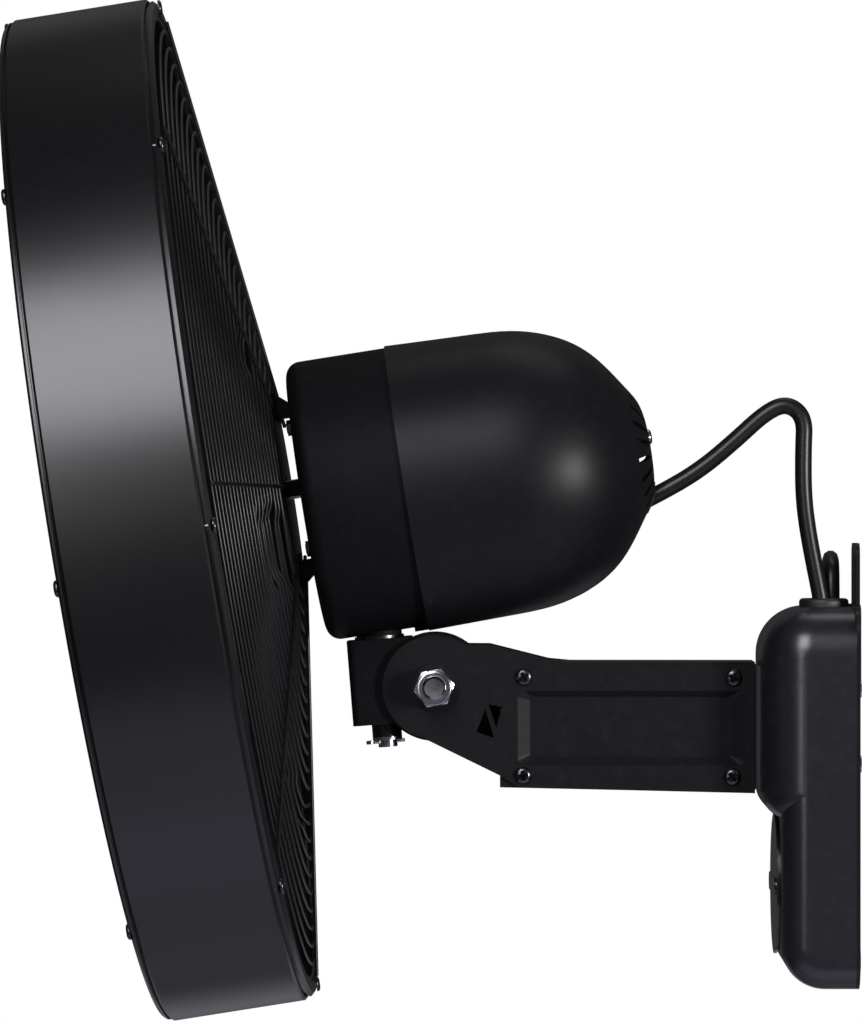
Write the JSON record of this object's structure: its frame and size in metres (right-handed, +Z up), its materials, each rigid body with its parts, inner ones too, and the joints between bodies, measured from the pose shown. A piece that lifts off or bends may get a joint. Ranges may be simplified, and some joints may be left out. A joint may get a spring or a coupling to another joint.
{
  "type": "wall mounted fan",
  "caption": "Black industrial wall fan: caged drum head with rounded motor pod on a tilting, swivelling knuckle, boxed steel arm, wall housing with speed dial, external cords.",
  "frame": {"origin": "on the wall, midway between the two upper wall screws", "axes": "+X into the wall, the fan blows towards -X; +Z up; -Y is the side that the picture shows"},
  "size_m": [0.4367, 0.52, 0.524],
  "materials": {
    "black_steel": "satin powder coat",
    "black_cast": "satin paint over a casting",
    "black_plastic": "semi gloss moulding",
    "knob_plastic": "gloss moulding",
    "zinc_steel": "bright zinc plate",
    "black_oxide": "black oxide",
    "cord_rubber": "soft sheen",
    "black_rubber": "matte",
    "cast_aluminium": "as cast",
    "blade_aluminium": "satin",
    "motor_steel": "laminated stack",
    "winding_copper": "enamelled copper",
    "pale_plastic": "plain moulding"
  },
  "bodies": {
    "wall_unit": {"wall_plate": "black_steel", "housing_cover": "black_plastic", "cover_screws": "black_oxide", "cord_grommet": "black_rubber", "rotary_switch": "pale_plastic", "terminal_block": "pale_plastic", "run_capacitor": "pale_plastic", "arm_bracket": "zinc_steel", "bracket_rivets": "zinc_steel", "arm_flange_bolts": "zinc_steel", "arm_gasket": "black_rubber", "arm_channel": "black_steel", "arm_plate_near": "black_steel", "arm_plate_far": "black_steel", "arm_screws": "black_oxide", "tilt_bolt": "zinc_steel", "tilt_nut": "zinc_steel", "tilt_washers": "zinc_steel", "friction_washers": "black_rubber", "mains_lead": "cord_rubber", "mains_coil": "cord_rubber", "coil_tie": "black_rubber", "mains_plug": "black_rubber"},
    "speed_knob_body": {"speed_knob": "knob_plastic", "switch_shaft": "zinc_steel"},
    "tilt_knuckle": {"knuckle": "black_cast", "swivel_bush": "black_oxide", "thrust_washer": "black_oxide"},
    "fan_head": {"swivel_pin": "zinc_steel", "spring_washer": "zinc_steel", "cotter_pin": "zinc_steel", "pod_front_shell": "black_cast", "pod_rear_cap": "black_plastic", "cap_screw": "zinc_steel", "cord_bush": "black_rubber", "motor_front_shield": "cast_aluminium", "motor_rear_shield": "cast_aluminium", "motor_bearings": "zinc_steel", "stator": "motor_steel", "windings": "winding_copper", "motor_studs": "black_oxide", "guard_mount_plate": "black_steel", "guard_stand_offs": "black_cast", "guard_mount_screws": "black_oxide", "drum": "black_steel", "front_ring": "black_steel", "rear_ring": "black_steel", "ring_screws": "black_oxide", "rear_guard": "black_steel", "front_guard": "black_steel", "centre_badge": "black_plastic", "motor_cord": "cord_rubber"},
    "rotor": {"rotor_core": "cast_aluminium", "motor_shaft": "zinc_steel", "blade_hub": "black_steel", "blade_1": "blade_aluminium", "blade_2": "blade_aluminium", "blade_3": "blade_aluminium", "blade_rivets": "zinc_steel", "hub_nut": "zinc_steel"}
  },
  "joints": [
    {"name": "head_tilt", "type": "hinge", "parent": "wall_unit", "child": "tilt_knuckle", "pos_m": [-0.2175, 0, -0.0607], "axis": [0, -1, 0], "range_deg": [-20, 30], "deforming": ["motor_cord"]},
    {"name": "head_swivel", "type": "hinge", "parent": "tilt_knuckle", "child": "fan_head", "pos_m": [-0.24391, 0, -0.06283], "axis": [-0.0802, 0, 0.9968], "range_deg": [-45, 45], "deforming": ["motor_cord"]},
    {"name": "rotor_spin", "type": "hinge", "parent": "fan_head", "child": "rotor", "pos_m": [-0.39236, 0, 0.02433], "axis": [0.9876, 0, 0.157], "continuous": true},
    {"name": "knob_turn", "type": "hinge", "parent": "wall_unit", "child": "speed_knob_body", "pos_m": [-0.0415, 0, -0.1623], "axis": [1, 0, 0], "range_deg": [0, 135]}
  ]
}
